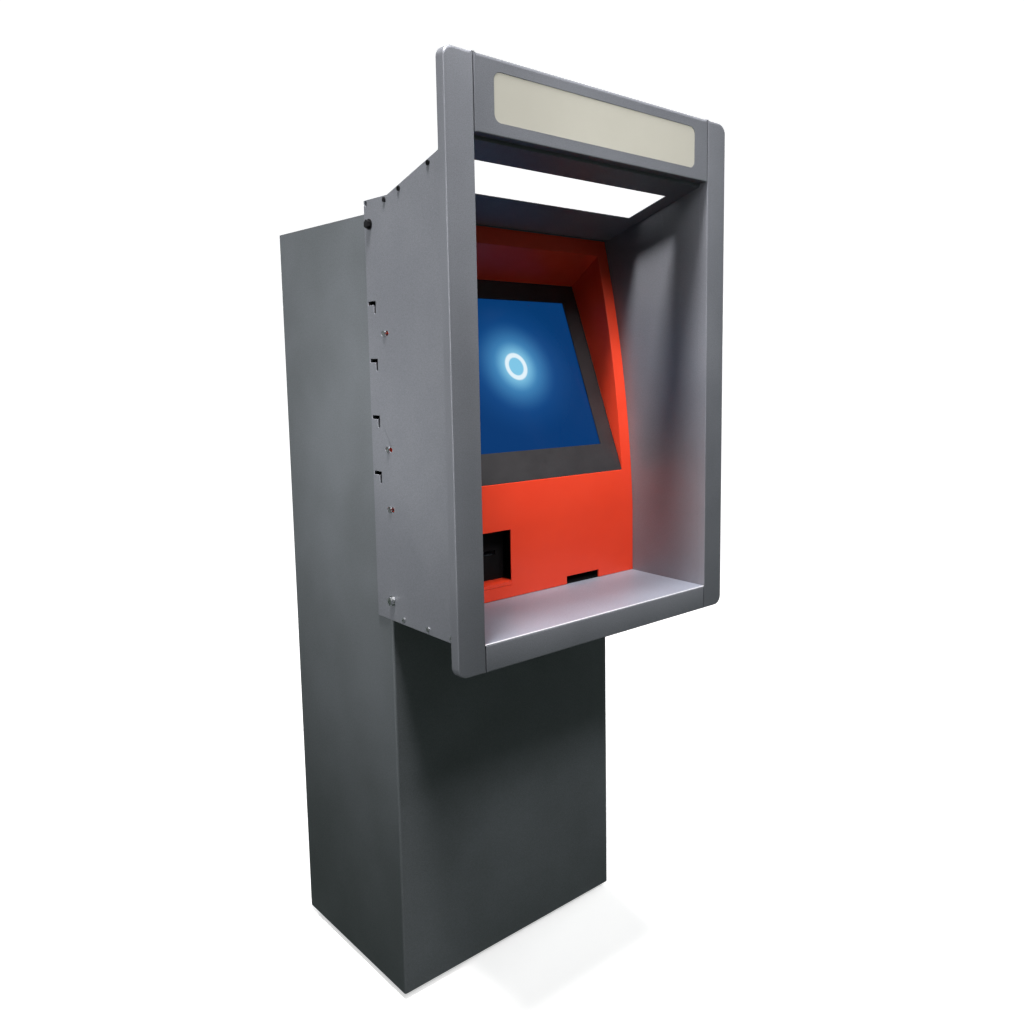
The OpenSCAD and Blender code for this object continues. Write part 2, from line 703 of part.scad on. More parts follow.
module cable_grommet() color(black) framed() translate([0, cab_back - 70, foot_h])
    difference() {
        union() {
            translate([0, 0, -2]) cylinder(r = entry_r + 4, h = 2);
            cylinder(r = entry_r, h = base_t);
            translate([0, 0, base_t]) cylinder(r = entry_r + 4, h = 2);
        }
        translate([0, 0, -3]) cylinder(r = grommet_r, h = base_t + 6);
    }

module fan_frame() color(black) framed() translate([0, fan_y, fan_z]) {
    difference() {
        block([-fan_s / 2, 0, -fan_s / 2], [fan_s / 2, fan_d, fan_s / 2]);
        translate([0, -1, 0]) bar_y(rotor_r + 2, fan_d + 2);
        for (x = fan_holes, z = fan_holes) translate([x, -1, z]) bar_y(2.2, fan_d + 2);
    }
    translate([0, 0.5, 0]) bar_y(19, 3.4);
    for (a = [45, 135]) rotate([0, a, 0])
        block([-rotor_r - 4, 0.6, -3], [rotor_r + 4, 3.6, 3]);
}

// One fan blade, pitched about its own radius
module blade() translate([0, 14, 0]) rotate([30, 0, 0])
    block([16, -8, -1], [rotor_r, 8, 1]);

module fan_rotor() color(black) framed() translate([0, fan_y, fan_z]) {
    translate([0, 5, 0]) bar_y(18, 19);
    for (k = [0:6]) rotate([0, k * 360 / 7, 0]) blade();
}

module fan_screws() color(zinc) framed() for (x = fan_holes, z = fan_holes)
    translate([x, cab_back, fan_z + z]) rotate([0, 0, 180]) screw_y(2, 30, 4, 2.2);

// ---------- equipment ----------

module equipment_shelf() color(dark_steel) framed() difference() {
    x = cab_x - sheet_t - 0.3;
    union() {
        block([-x, cab_y + 5, shelf_z - sheet_t], [x, 604, shelf_z]);
        both_sides() block([-x, cab_y + 5, shelf_z - 20], [-x + sheet_t, 604, shelf_z - e]);
        block([-x, 604 - sheet_t, shelf_z - 20], [x, 604, shelf_z - e]);
    }
    block([port_x - 1, cab_y, shelf_z - 21], [port_x + port_w + 1, 342, shelf_z + 1]);
}

module printer_side_holes(r) translate([printer_x - 1, platen_y, platen_z])
    bar_x(r, printer_w + 2);

module receipt_printer() color(dark_steel) framed() {
    x0 = printer_x;
    x1 = printer_x + printer_w;
    wall = (printer_w - 88) / 2;
    difference() {
        block([x0, printer_y, shelf_z + 0.1], [x1, 430, shelf_z + printer_h]);
        block([x0 + wall, 318, shelf_z + 10], [x1 - wall, 422, shelf_z + printer_h + 1]);
        block([x0 + wall, 294, shelf_z + 84], [x1 - wall, 320, shelf_z + printer_h + 1]);
        block([slot_x, printer_y - 1, shelf_z + 22], [slot_x + slot_w, 296, shelf_z + 38]);
        block([slot_x, 290, shelf_z + 22], [slot_x + slot_w, 300, shelf_z + printer_h + 1]);
        printer_side_holes(2.55);
    }
    translate([x0 + 1, roll_y, roll_z]) bar_x(5.95, printer_w - 2);
    for (x = [x0, x1 - 10]) translate([x, cover_y, cover_z]) difference() {
        union() {
            bar_x(3.5, 10);
            block([0, -3.5, -3.5], [10, 3.5, 0]);
        }
        translate([-1, 0, 0]) bar_x(1.55, 12);
    }
}

module printer_cover() color(black) framed() translate([0, 0, cover_z]) {
    x0 = printer_x + 10.3;
    x1 = printer_x + printer_w - 10.3;
    difference() {
        union() {
            block([x0, 292, -3], [x1, cover_y, 0]);
            translate([x0, cover_y, 0]) bar_x(3, x1 - x0);
        }
        translate([x0 - 1, cover_y, 0]) bar_x(1.5, x1 - x0 + 2);
    }
    translate([printer_x + 1, cover_y, 0]) bar_x(1.5, printer_w - 2);
}

module paper_roll() color([0.93, 0.93, 0.9]) framed()
    translate([paper_x - 39.75, roll_y, roll_z]) difference() {
        bar_x(roll_r, 79.5);
        translate([-1, 0, 0]) bar_x(6, 82);
    }

module platen_roller() color(black) framed() {
    translate([paper_x - 40, platen_y, platen_z]) bar_x(platen_r, 80);
    translate([printer_x + 1, platen_y, platen_z]) bar_x(2.5, printer_w - 2);
}

// A sloping duct from the printer to the slot, wall thickness w
module paper_chute() color(black) framed() difference() {
    y0 = fascia_y + fascia_t + 0.3;
    y1 = printer_y - 0.5;
    z0 = opening_low + 0.3;
    z1 = shelf_z + 22;
    w = 1.8;
    h = 15;
    translate([slot_x - 1, 0, 0]) side_plate(slot_w + 2,
        [[y0, z0], [y1, z1 - w], [y1, z1 + h - w], [y0, z0 + h + w]]);
    translate([slot_x + 0.5, 0, 0]) side_plate(slot_w - 1,
        [[y0 - 1, z0 + w], [y0, z0 + w], [y1 + 1, z1 + 0.3], [y1 + 1, z1 + h - 2 * w],
            [y0, z0 + h], [y0 - 1, z0 + h]]);
}

module note_transport() color(dark_steel) framed() {
    x0 = port_x + 5;
    x1 = port_x + port_w - 5;
    top = port_z + port_h + 8;
    difference() {
        block([x0, fascia_y + port_depth + 4.2, port_z + 2], [x1, cab_y + 70, top]);
        note_mouth();
    }
    block([x0, cab_y + 6, bay_top + 0.2], [x1, cab_y + 70, port_z + 3]);
}

// The frame that holds the two cassettes, on legs that stand on the base
module dispenser_frame() color(dark_steel) framed() difference() {
    x = cassette_w / 2 + 2;
    block([-x - bay_t, bay_y, foot_h + base_t + 0.1], [x + bay_t, bay_y + bay_d, bay_top]);
    for (k = [0, 1]) block([-x, bay_y + bay_t, bay_z + bay_t + k * (bay_h + bay_t)],
        [x, bay_y + bay_d + 1, bay_z + bay_t + k * (bay_h + bay_t) + bay_h]);
    block([-x, bay_y - 1, foot_h], [x, bay_y + bay_d + 1, bay_z]);
}

function cassette_z(k) = bay_z + bay_t + k * (bay_h + bay_t) + 0.5;

module cassette(k) translate([0, cassette_y, cassette_z(k)]) difference() {
    union() {
        block([-cassette_w / 2, 0, 0], [cassette_w / 2, cassette_d, cassette_h]);
        for (x = [-handle_w / 2 - 6, handle_w / 2 - 6]) translate([x, cassette_d + 5, handle_z])
            difference() {
                union() {
                    bar_x(5, 12);
                    block([0, -5 - e, -5], [12, 0, 5]);
                }
                translate([-1, 0, 0]) bar_x(handle_r + 0.05, 14);
            }
    }
    both_sides() block([-cassette_w / 2 - 1, 8, cassette_h - 12],
        [-cassette_w / 2 + 1.5, cassette_d - 8, cassette_h - 11]);
    block([-35, -1, 45], [35, 6, 75]);
}

module cassette_upper() color(dark_steel) framed() cassette(1);

module cassette_lower() color(dark_steel) framed() cassette(0);

// Folding bail, hanging down from its pivots at rest
module bail(k) translate([0, cassette_y + cassette_d + 5, cassette_z(k) + handle_z]) {
    reach = handle_w / 2 + 12;
    both_sides() {
        translate([-reach, 0, 0]) bar_x(handle_r, 22);
        translate([-reach, 0, 0]) sphere(handle_r);
        translate([-reach, 0, -handle_drop]) cylinder(r = handle_r, h = handle_drop);
        translate([-reach, 0, -handle_drop]) sphere(handle_r);
    }
    translate([-reach, 0, -handle_drop]) bar_x(handle_r, 2 * reach);
}

module handle_upper() color(zinc) framed() bail(1);

module handle_lower() color(zinc) framed() bail(0);

module control_computer() color(black) framed() difference() {
    block([pc_x, pc_y, shelf_z + 0.1], [pc_x + pc_w, pc_y + pc_d, shelf_z + pc_h]);
    translate([button_x, pc_y + pc_d - 6, button_z]) bar_y(button_r + 0.3, 7);
    for (k = [0:8]) block([pc_x + 90 + k * 12, pc_y + pc_d - 3, shelf_z + 20],
        [pc_x + 95 + k * 12, pc_y + pc_d + 1, shelf_z + 50]);
}

module power_button() color(zinc) framed()
    translate([button_x, pc_y + pc_d - 3, button_z]) bar_y(button_r, 5);

module power_supply() color(zinc) framed() difference() {
    block([130, pc_y + 30, shelf_z + 0.1], [230, pc_y + pc_d, shelf_z + 52]);
    for (k = [0:6]) block([142 + k * 12, pc_y + pc_d - 3, shelf_z + 12],
        [147 + k * 12, pc_y + pc_d + 1, shelf_z + 42]);
}

module power_inlet() color(black) framed() difference() {
    union() {
        block([inlet_x - 30, cab_back + 0.1, inlet_z - 18],
            [inlet_x + 30, cab_back + 3, inlet_z + 18]);
        block([inlet_x - 23.5, cab_back - 34, inlet_z - 13.5],
            [inlet_x + 23.5, cab_back + 1, inlet_z + 13.5]);
    }
    block([inlet_x - 3, cab_back - 16, inlet_z - 9], [inlet_x + 20, cab_back + 4, inlet_z + 9]);
    block([rocker_x - 6, cab_back - 10, inlet_z - 11], [rocker_x + 6, cab_back + 4, inlet_z + 11]);
    translate([rocker_x - 6.8, rocker_y, inlet_z]) bar_x(1.25, 13.6);
}

// Rocker, tilted to its off position
module rocker_switch() color([0.6, 0.1, 0.1]) framed()
    translate([rocker_x, rocker_y, inlet_z]) rotate([rocker_tilt, 0, 0]) {
        translate([-5.5, 0, 0]) side_plate(11,
            [[-5, -4], [0, -9], [3, -8.4], [1.2, 0], [3, 8.4], [0, 9], [-5, 4]]);
        translate([-6.6, 0, 0]) bar_x(1.2, 13.2);
    }

bezel_stile_left();
bezel_stile_right();
bezel_header();
bezel_bottom_rail();
bezel_backplate();
sign_panel();
bezel_screws();
hood_side_left();
hood_side_right();
roof_panel();
sill_shelf();
roof_screws();
sill_screws();
clamp_bolts();
upper_bolts();
fascia_screws();
fascia();
port_ledge();
note_port_face();
touch_frame();
display_panel();
monitor_housing();
monitor_rails();
monitor_bolts();
cabinet_shell();
cabinet_top();
cabinet_base();
rear_door();
hinge_frame_leaves();
hinge_door_leaves();
hinge_pins();
lock_body();
lock_plug();
lock_cam();
foot_pads();
foot_studs();
foot_nuts();
cable_grommet();
fan_frame();
fan_rotor();
fan_screws();
equipment_shelf();
receipt_printer();
printer_cover();
paper_roll();
platen_roller();
paper_chute();
note_transport();
dispenser_frame();
cassette_upper();
cassette_lower();
handle_upper();
handle_lower();
control_computer();
power_button();
power_supply();
power_inlet();
rocker_switch();
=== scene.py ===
import json
import math

import bpy
from mathutils import Matrix, Vector
from mathutils.geometry import tessellate_polygon


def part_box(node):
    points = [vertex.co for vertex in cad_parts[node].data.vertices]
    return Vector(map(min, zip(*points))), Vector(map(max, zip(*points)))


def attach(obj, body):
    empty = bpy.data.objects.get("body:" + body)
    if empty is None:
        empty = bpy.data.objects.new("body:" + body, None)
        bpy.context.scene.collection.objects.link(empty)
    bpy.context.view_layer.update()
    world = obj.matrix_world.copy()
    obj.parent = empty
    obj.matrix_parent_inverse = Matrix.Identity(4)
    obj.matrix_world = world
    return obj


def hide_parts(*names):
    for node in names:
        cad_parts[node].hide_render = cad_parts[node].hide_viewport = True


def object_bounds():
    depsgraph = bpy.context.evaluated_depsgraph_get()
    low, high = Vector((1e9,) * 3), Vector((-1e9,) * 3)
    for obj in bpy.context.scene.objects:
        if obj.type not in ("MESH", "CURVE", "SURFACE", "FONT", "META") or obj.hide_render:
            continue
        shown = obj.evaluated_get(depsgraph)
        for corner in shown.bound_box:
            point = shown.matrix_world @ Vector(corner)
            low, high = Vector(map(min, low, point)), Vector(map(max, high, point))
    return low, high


# Looks of the through-the-wall cash machine: materials for every CAD part, rounded sheet
# metal for the bezel, and the lit display. Metres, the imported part's own frame.

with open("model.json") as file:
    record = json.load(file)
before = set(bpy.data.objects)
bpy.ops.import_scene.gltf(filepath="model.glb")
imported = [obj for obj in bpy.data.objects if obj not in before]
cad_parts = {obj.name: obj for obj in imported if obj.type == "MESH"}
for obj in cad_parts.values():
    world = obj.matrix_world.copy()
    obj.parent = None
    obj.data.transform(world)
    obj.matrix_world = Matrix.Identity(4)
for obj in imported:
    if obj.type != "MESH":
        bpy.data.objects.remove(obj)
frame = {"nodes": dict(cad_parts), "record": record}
nodes = frame["nodes"]
cad_low, cad_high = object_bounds()
scene = bpy.context.scene
scene.view_settings.view_transform = "Standard"

BODY = "cabinet"
MM = 0.001


# ---------- node helpers ----------


def rgb(r, g, b):
    """An sRGB colour of 0 to 255 as a linear one."""

    def lin(c):
        c = c / 255
        return c / 12.92 if c <= 0.04045 else ((c + 0.055) / 1.055) ** 2.4

    return (lin(r), lin(g), lin(b), 1.0)


class Graph:
    """A material's node tree with short calls to add and link nodes."""

    def __init__(self, name):
        self.material = bpy.data.materials.new(name)
        self.material.use_nodes = True
        self.tree = self.material.node_tree
        self.shader = self.tree.nodes["Principled BSDF"]

    def add(self, kind, **values):
        node = self.tree.nodes.new(kind)
        for key, value in values.items():
            if key in node.bl_rna.properties:
                setattr(node, key, value)
            else:
                node.inputs[key.replace("_", " ")].default_value = value
        return node

    def link(self, out, into):
        self.tree.links.new(out, into)

    def place(self):
        """Object coordinates: metres in the part's own frame."""
        return self.add("ShaderNodeTexCoord").outputs["Object"]

    def noise(self, scale, detail=3.0, rough=0.55):
        n = self.add("ShaderNodeTexNoise", Scale=scale, Detail=detail, Roughness=rough)
        self.link(self.place(), n.inputs["Vector"])
        return n.outputs["Fac"]

    def steps(self, fac, low, high, low_value, high_value, curve="LINEAR"):
        """fac from low to high, mapped to a number from low_value to high_value."""
        n = self.add("ShaderNodeMapRange", interpolation_type=curve)
        for socket, value in zip(
            ("From Min", "From Max", "To Min", "To Max"),
            (low, high, low_value, high_value),
        ):
            n.inputs[socket].default_value = value
        self.link(fac, n.inputs["Value"])
        return n.outputs["Result"]

    def mix(self, fac, a, b, blend="MIX"):
        """Colours a and b, each a colour or a socket, mixed by fac."""
        n = self.add("ShaderNodeMix", data_type="RGBA", blend_type=blend)
        for value, socket in ((fac, n.inputs[0]), (a, n.inputs[6]), (b, n.inputs[7])):
            if isinstance(value, bpy.types.NodeSocket):
                self.link(value, socket)
            else:
                socket.default_value = value
        return n.outputs[2]

    def bump(self, height, distance, strength):
        n = self.add("ShaderNodeBump", Distance=distance, Strength=strength)
        self.link(height, n.inputs["Height"])
        self.link(n.outputs["Normal"], self.shader.inputs["Normal"])

    def set(self, **values):
        for key, value in values.items():
            self.shader.inputs[key.replace("_", " ")].default_value = value


# ---------- materials ----------


COAT_GRAIN = 900.0
FLAKE_DARK, FLAKE_BRIGHT = 0.84, 1.16
# The next two lines give a painted highlight along a sheet's front edge: the band over which it
# fades out behind the front, and its pale colour.
HIGHLIGHT_FROM, HIGHLIGHT_TO = 1.2 * MM, 2.2 * MM
EDGE_HIGHLIGHT = rgb(238, 238, 244)


def powder_coat(name, light, dark, metallic=0.25, roughness=0.46, highlight_edge=None):
    """Fine-textured metallic powder coat: flakes, a slow drift of tone, and orange peel.
    Given the front of a sheet as its last argument, it paints a pale highlight along that front
    edge."""
    g = Graph(name)
    drift = g.steps(g.noise(5.0, 2.0), 0.35, 0.65, 0.0, 1.0)
    base = g.mix(drift, light, dark)
    speckle = g.noise(COAT_GRAIN * 0.9, 3.0, 0.75)
    flakes = g.steps(speckle, 0.38, 0.62, FLAKE_DARK, FLAKE_BRIGHT)
    shade = g.add("ShaderNodeCombineColor")
    for socket in ("Red", "Green", "Blue"):
        g.link(flakes, shade.inputs[socket])
    colour = g.mix(1.0, base, shade.outputs["Color"], "MULTIPLY")
    # painted highlight: a pale colour along the sheet's front edge
    if highlight_edge is not None:
        parts = g.add("ShaderNodeSeparateXYZ")
        g.link(g.place(), parts.inputs["Vector"])
        highlight_start, highlight_end = highlight_edge + HIGHLIGHT_FROM, highlight_edge + HIGHLIGHT_TO
        edge = g.steps(parts.outputs["Y"], highlight_start, highlight_end, 1.0, 0.0)
        colour = g.mix(edge, colour, EDGE_HIGHLIGHT)
    g.link(colour, g.shader.inputs["Base Color"])
    g.link(
        g.steps(g.noise(COAT_GRAIN * 0.5, 2.0), 0.3, 0.7, roughness - 0.07, roughness + 0.09),
        g.shader.inputs["Roughness"],
    )
    g.set(Metallic=metallic)
    g.bump(g.noise(COAT_GRAIN, 3.0, 0.6), 0.12 * MM, 0.55)
    return g.material


def paint(name, light, dark, roughness=0.36, peel=260.0):
    """Smooth satin paint with a faint orange peel and a slow drift of tone."""
    g = Graph(name)
    drift = g.steps(g.noise(7.0, 3.0), 0.3, 0.7, 0.0, 1.0)
    specks = g.steps(g.noise(1500.0, 2.0), 0.3, 0.7, 0.0, 0.35)
    g.link(g.mix(specks, g.mix(drift, light, dark), dark), g.shader.inputs["Base Color"])
    g.link(
        g.steps(g.noise(40.0, 4.0), 0.3, 0.7, roughness - 0.05, roughness + 0.07),
        g.shader.inputs["Roughness"],
    )
    g.set(Specular_IOR_Level=0.45)
    g.bump(g.noise(peel, 2.0), 0.15 * MM, 0.4)
    return g.material


def moulded(name, light, dark, roughness=0.5, grain=1100.0, gloss=0.5):
    """Moulded plastic with a spark-eroded grain."""
    g = Graph(name)
    g.set(Specular_IOR_Level=gloss)
    g.link(
        g.mix(g.steps(g.noise(30.0, 3.0), 0.3, 0.7, 0.0, 1.0), light, dark),
        g.shader.inputs["Base Color"],
    )
    g.link(
        g.steps(g.noise(grain * 0.4, 3.0), 0.3, 0.7, roughness - 0.08, roughness + 0.1),
        g.shader.inputs["Roughness"],
    )
    g.bump(g.noise(grain, 2.0, 0.5), 0.10 * MM, 0.5)
    return g.material


def bare_metal(name, light, dark, roughness=0.3, spangle=120.0):
    """Zinc-plated or galvanised steel: cells of slightly different tone and gloss."""
    g = Graph(name)
    cells = g.add("ShaderNodeTexVoronoi", Scale=spangle)
    g.link(g.place(), cells.inputs["Vector"])
    tone = g.add("ShaderNodeSeparateColor")
    g.link(cells.outputs["Color"], tone.inputs["Color"])
    g.link(g.mix(tone.outputs["Red"], light, dark), g.shader.inputs["Base Color"])
    g.link(
        g.steps(tone.outputs["Green"], 0.0, 1.0, roughness - 0.06, roughness + 0.12),
        g.shader.inputs["Roughness"],
    )
    g.set(Metallic=1.0)
    g.bump(g.noise(700.0, 3.0), 0.05 * MM, 0.5)
    return g.material


def paper_material(name):
    """Matt white paper with a fine fibre."""
    g = Graph(name)
    g.link(
        g.mix(g.noise(900.0, 4.0), rgb(238, 238, 232), rgb(224, 223, 214)),
        g.shader.inputs["Base Color"],
    )
    g.link(g.steps(g.noise(300.0), 0.3, 0.7, 0.75, 0.9), g.shader.inputs["Roughness"])
    g.bump(g.noise(1500.0, 3.0), 0.04 * MM, 0.6)
    return g.material


hood_coat = powder_coat("hood_coat", rgb(128, 130, 137), rgb(119, 121, 128))
# The cabinet's coat is the hood's grey made darker with a faint green cast. This is painted
# shade and painted green reflected light on the pedestal below the hood.
shaded_cabinet_coat = powder_coat("shaded_cabinet_coat", rgb(114, 118, 123), rgb(104, 108, 112))
inner_coat = powder_coat(
    "inner_coat", rgb(72, 73, 70), rgb(62, 63, 60), metallic=0.1, roughness=0.5
)
# The sill's coat is the hood's grey made brighter and bluer. This is painted light on its lit
# top, and a painted highlight runs along its front edge.
lit_sill_coat = powder_coat(
    "lit_sill_coat", rgb(151, 157, 171), rgb(142, 148, 162), highlight_edge=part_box("sill_shelf")[0].y
)
red_paint = paint("red_paint", rgb(233, 68, 39), rgb(226, 61, 34))
black_plastic = moulded("black_plastic", rgb(42, 41, 44), rgb(33, 32, 35))
frame_plastic = moulded(
    "frame_plastic", rgb(43, 41, 43), rgb(37, 35, 37), roughness=0.42, grain=800.0
)
# Black plastic made darker still: painted shade in the deep note port and paper chute.
shaded_port_black = moulded("shaded_port_black", rgb(20, 20, 21), rgb(14, 14, 15), 0.6, gloss=0.08)
grey_plastic = moulded("grey_plastic", rgb(74, 78, 84), rgb(63, 67, 73), roughness=0.55)
rubber = moulded("rubber", rgb(38, 38, 38), rgb(28, 28, 28), roughness=0.8, grain=500.0)
zinc = bare_metal("zinc", (0.72, 0.73, 0.75, 1), (0.60, 0.61, 0.63, 1), 0.28, 500.0)
galvanised = bare_metal("galvanised", (0.66, 0.68, 0.70, 1), (0.50, 0.52, 0.54, 1), 0.36)
black_oxide = bare_metal("black_oxide", (0.05, 0.05, 0.055, 1), (0.03, 0.03, 0.03, 1), 0.42)
sign_acrylic = paint(
    "sign_acrylic", rgb(190, 187, 176), rgb(183, 180, 169), roughness=0.42, peel=90.0
)
paper = paper_material("thermal_paper")
switch_red = moulded("switch_red", rgb(190, 30, 26), rgb(170, 24, 22), roughness=0.2)

FINISH = {
    "grey_coat": hood_coat,
    "dark_steel": inner_coat,
    "sign_acrylic": sign_acrylic,
    "zinc": zinc,
    "black_oxide": black_oxide,
    "red_coat": red_paint,
    "black_plastic": black_plastic,
    "display": frame_plastic,
    "steel_plain": galvanised,
    "rubber_black": rubber,
    "paper": paper,
    "cassette_plastic": grey_plastic,
    "switch_red": switch_red,
}
OWN_FINISH = {
    # painted shade: the darker coat of the cabinet below the hood
    "cabinet_shell": shaded_cabinet_coat,
    "cabinet_top": shaded_cabinet_coat,
    "rear_door": shaded_cabinet_coat,
    "touch_frame": frame_plastic,
    # painted shade: the darker black inside the note port and paper chute
    "note_port_face": shaded_port_black,
    "paper_chute": shaded_port_black,
    # painted light: the brighter coat of the sill's lit top
    "sill_shelf": lit_sill_coat,
}
for part in frame["record"]["subparts"]:
    name = part["node"]
    if name in nodes:
        finish = OWN_FINISH.get(name, FINISH[part["material_slot"]])
        data = nodes[name].data
        data.materials.clear()
        data.materials.append(finish)


SHEET_EDGE = 0.9 * MM
SAME_POINT = 0.02 * MM
SAME_PLANE = math.radians(0.5)
SHARP = math.radians(50)


def rounded(name, planar=True):
    """Rounds a CAD part's sheet edges, as a bend or a deburred edge is. A part with only
    flat faces has their triangles joined first."""
    obj = nodes[name]
    weld = obj.modifiers.new("weld", "WELD")
    weld.merge_threshold = SAME_POINT
    if planar:
        flat = obj.modifiers.new("flat", "DECIMATE")
        flat.decimate_type = "DISSOLVE"
        flat.angle_limit = SAME_PLANE
    bevel = obj.modifiers.new("bevel", "BEVEL")
    bevel.width = SHEET_EDGE
    bevel.segments = 3
    bevel.limit_method = "ANGLE"
    bevel.angle_limit = SHARP
    bevel.use_clamp_overlap = False
    normals = obj.modifiers.new("normals", "WEIGHTED_NORMAL")
    normals.weight = 100


for name in ("sill_shelf", "hood_side_left", "hood_side_right", "roof_panel"):
    rounded(name)
rounded("fascia", planar=False)

# ---------- pieces ----------


def piece(name, points, faces, material, replaced=()):
    """A new mesh that rides on the cabinet; replaced names the CAD nodes it stands for."""
    mesh = bpy.data.meshes.new(name)
    mesh.from_pydata([tuple(p) for p in points], [], faces)
    mesh.validate()
    mesh.materials.append(material)
    mesh.shade_smooth()
    mesh.set_sharp_from_angle(angle=math.radians(35))
    obj = bpy.data.objects.new(name, mesh)
    scene.collection.objects.link(obj)
    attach(obj, BODY)
    if replaced:
        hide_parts(*replaced)
    return obj


stile_low, stile_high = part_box("bezel_stile_left")
BEZEL_DEPTH = stile_high.y - stile_low.y
SHEET = 2 * MM
CORNER_R = 16 * MM
OUTER_BEND = 1.6 * MM
TOP_BEND = 6.0 * MM
INNER_BEND = 1.0 * MM
HEADER_FOOT_BEND = 2 * MM
NEAR_END = 5 * MM  # from a bar's end to where its end bend begins
ARC_STEPS = 10
BEND_STEPS = 6


def corner_arc(cx, cz, r, start):
    """Points of a quarter circle with its outward direction at each."""
    out = []
    for k in range(ARC_STEPS + 1):
        a = math.radians(start + 90 * k / ARC_STEPS)
        out.append(((cx + r * math.cos(a), cz + r * math.sin(a)), (math.cos(a), math.sin(a))))
    return out


def folded_pan(name, outline, replaced, hole=None):
    """A shallow sheet-metal pan that is open at the back. outline lists ((x, z), (outward
    x, outward z), bend radius) anticlockwise as seen from the front; hole, if any, is a
    closed loop of (x, z) cut through the front."""
    front = cad_low.y
    rings = []
    for k in range(BEND_STEPS + 1):
        a = math.radians(90 * k / BEND_STEPS)
        ring = []
        for (x, z), (nx, nz), r in outline:
            inset = r * (1 - math.sin(a))
            ring.append((x - nx * inset, front + r * (1 - math.cos(a)), z - nz * inset))
        rings.append(ring)
    rings.append([(x, front + BEZEL_DEPTH, z) for (x, z), _, _ in outline])
    inner = [(x - nx * SHEET, z - nz * SHEET) for (x, z), (nx, nz), _ in outline]
    rings.append([(x, front + BEZEL_DEPTH, z) for x, z in inner])
    rings.append([(x, front + SHEET, z) for x, z in inner])
    n = len(outline)
    points = [p for ring in rings for p in ring]
    faces = []
    for k in range(len(rings) - 1):
        for i in range(n):
            j = (i + 1) % n
            faces.append((k * n + i, k * n + j, (k + 1) * n + j, (k + 1) * n + i))
    close_pan(points, faces, (len(rings) - 1) * n, n, hole, front)
    piece(name, points, faces, hood_coat, replaced)


def close_pan(points, faces, last, n, hole, front):
    """Closes the pan's front and inner face, round the hole where there is one. last is the
    first point of the innermost ring and n the number of points in a ring."""
    if not hole:
        faces.append(tuple(reversed(range(n))))
        faces.append(tuple(last + i for i in range(n)))
        return
    m = len(hole)
    start = len(points)
    points += [(x, front, z) for x, z in hole]
    points += [(x, front + SHEET, z) for x, z in hole]
    for i in range(m):
        j = (i + 1) % m
        faces.append((start + i, start + m + i, start + m + j, start + j))
    for offset, base, flip in ((0, start, False), (last, start + m, True)):
        loops = [[offset + i for i in range(n)], [base + i for i in range(m)]]
        flat = [[Vector((points[i][0], points[i][2], 0)) for i in loop] for loop in loops]
        ids = loops[0] + loops[1]
        for tri in tessellate_polygon(flat):
            tri = tuple(ids[k] for k in tri)
            (ax, _, az), (bx, _, bz), (cx, _, cz) = (points[i] for i in tri)
            turns_left = (bx - ax) * (cz - az) - (bz - az) * (cx - ax) > 0
            faces.append(tri if turns_left != flip else tri[::-1])


def stile_outline(low, high):
    """Outline of the left stile, from its lower right corner, anticlockwise from the front."""
    x0, x1, z0, z1 = low.x, high.x, low.z, high.z
    out = [((x1, z0), (1, -1), INNER_BEND), ((x1, z1), (1, 1), INNER_BEND)]
    out.append(((x1 - NEAR_END, z1), (0, 1), TOP_BEND))
    for p, n in corner_arc(x0 + CORNER_R, z1 - CORNER_R, CORNER_R, 90):
        out.append((p, n, OUTER_BEND + (TOP_BEND - OUTER_BEND) * n[1]))
    for p, n in corner_arc(x0 + CORNER_R, z0 + CORNER_R, CORNER_R, 180):
        out.append((p, n, OUTER_BEND))
    out.append(((x1 - NEAR_END, z0), (0, -1), OUTER_BEND))
    return out


def mirrored(outline):
    """The left stile's outline turned into the right one's."""
    return [((-x, z), (-nx, nz), r) for (x, z), (nx, nz), r in reversed(outline)]


def bar_outline(low, high, top_bend, bottom_bend):
    """Outline of a bar between the stiles; its ends have the small bend."""
    x0, x1, z0, z1 = low.x, high.x, low.z, high.z
    return [
        ((x0 + NEAR_END, z0), (0, -1), bottom_bend),
        ((x1 - NEAR_END, z0), (0, -1), bottom_bend),
        ((x1, z0), (1, -1), INNER_BEND),
        ((x1, z1), (1, 1), INNER_BEND),
        ((x1 - NEAR_END, z1), (0, 1), top_bend),
        ((x0 + NEAR_END, z1), (0, 1), top_bend),
        ((x0, z1), (-1, 1), INNER_BEND),
        ((x0, z0), (-1, -1), INNER_BEND),
    ]


SIGN_LIP = 6 * MM
SIGN_GAP = 0.4 * MM
SIGN_R = 12 * MM


def sign_window():
    """The rounded window in the header that shows the sign panel, as a closed loop."""
    low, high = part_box("sign_panel")
    lap = SIGN_LIP - SIGN_GAP
    x0, x1, z0, z1 = low.x + lap, high.x - lap, low.z + lap, high.z - lap
    loop = []
    for cx, cz, start in (
        (x1 - SIGN_R, z1 - SIGN_R, 0),
        (x0 + SIGN_R, z1 - SIGN_R, 90),
        (x0 + SIGN_R, z0 + SIGN_R, 180),
        (x1 - SIGN_R, z0 + SIGN_R, 270),
    ):
        loop += [p for p, _ in corner_arc(cx, cz, SIGN_R, start)]
    return loop


left_outline = stile_outline(stile_low, stile_high)
header_outline = bar_outline(*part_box("bezel_header"), TOP_BEND, HEADER_FOOT_BEND)
rail_outline = bar_outline(*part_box("bezel_bottom_rail"), INNER_BEND, OUTER_BEND)
folded_pan("stile_left_sheet", left_outline, ["bezel_stile_left"])
folded_pan("stile_right_sheet", mirrored(left_outline), ["bezel_stile_right"])
folded_pan("header_sheet", header_outline, ["bezel_header"], sign_window())
folded_pan("bottom_rail_sheet", rail_outline, ["bezel_bottom_rail"])

